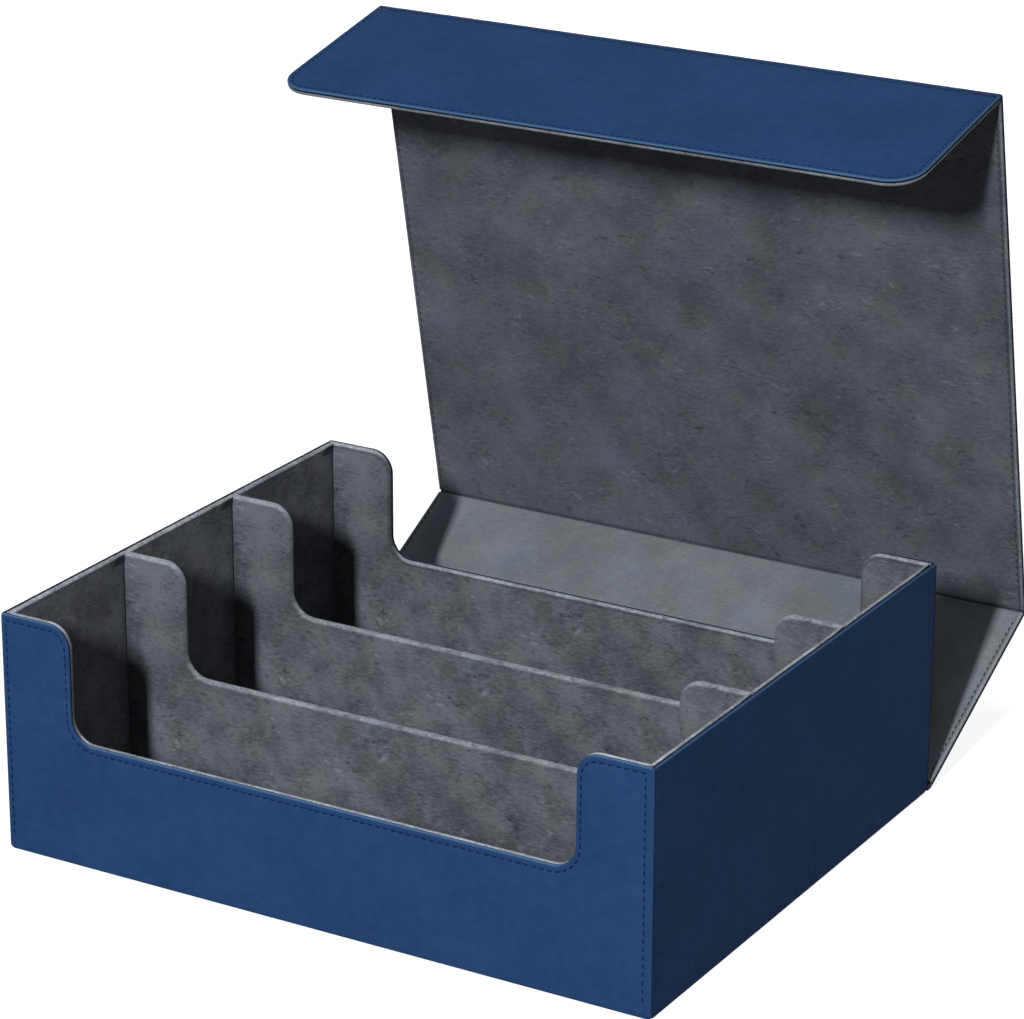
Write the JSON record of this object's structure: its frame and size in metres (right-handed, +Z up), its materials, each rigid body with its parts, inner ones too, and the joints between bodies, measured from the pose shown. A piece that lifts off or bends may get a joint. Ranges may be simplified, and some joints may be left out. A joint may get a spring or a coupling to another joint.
{
  "type": "card storage box",
  "caption": "Wide leather-cloth box with open rows for cards, cut-away walls and a folding cover closed by hidden magnets.",
  "frame": {"origin": "middle of the tray's underside, on the table", "axes": "+X along the front to the right, +Y to the back, where the cover is hinged, +Z up"},
  "size_m": [0.3106, 0.3527, 0.3042],
  "materials": {
    "leather": "satin",
    "suede": "matte",
    "board": "matte",
    "magnet": "polished"
  },
  "bodies": {
    "tray": {"cover_base_leather": "leather", "cover_base_board": "board", "floor_board": "board", "floor_lining_1": "suede", "floor_lining_2": "suede", "floor_lining_3": "suede", "front_leather": "leather", "front_board": "board", "front_lining": "suede", "rear_leather": "leather", "rear_board": "board", "rear_lining": "suede", "left_leather": "leather", "left_board": "board", "left_lining_1": "suede", "left_lining_2": "suede", "left_lining_3": "suede", "right_leather": "leather", "right_board": "board", "right_lining_1": "suede", "right_lining_2": "suede", "right_lining_3": "suede", "divider_board_1": "board", "divider_suede_1": "suede", "divider_board_2": "board", "divider_suede_2": "suede", "wall_magnet_left": "magnet", "wall_magnet_right": "magnet"},
    "back_panel": {"base_hinge_welt": "leather", "back_panel_leather": "leather", "back_panel_board": "board", "back_panel_lining": "suede"},
    "top_panel": {"spine_hinge_welt": "leather", "top_panel_leather": "leather", "top_panel_board": "board", "top_panel_lining": "suede"},
    "flap": {"flap_hinge_welt": "leather", "flap_leather": "leather", "flap_board": "board", "flap_lining": "suede", "flap_magnet_left": "magnet", "flap_magnet_right": "magnet"}
  },
  "joints": [
    {"name": "base_hinge", "type": "hinge", "parent": "tray", "child": "back_panel", "pos_m": [0, 0.1286, 0.0016], "axis": [1, 0, 0], "range_deg": [-27.2, 62.8]},
    {"name": "spine_hinge", "type": "hinge", "parent": "back_panel", "child": "top_panel", "pos_m": [0, 0.22466, 0.05097], "axis": [1, 0, 0], "range_deg": [-74.6, 15.4]},
    {"name": "flap_hinge", "type": "hinge", "parent": "top_panel", "child": "flap", "pos_m": [0, 0.17206, 0.30273], "axis": [1, 0, 0], "range_deg": [-90, 0]}
  ]
}
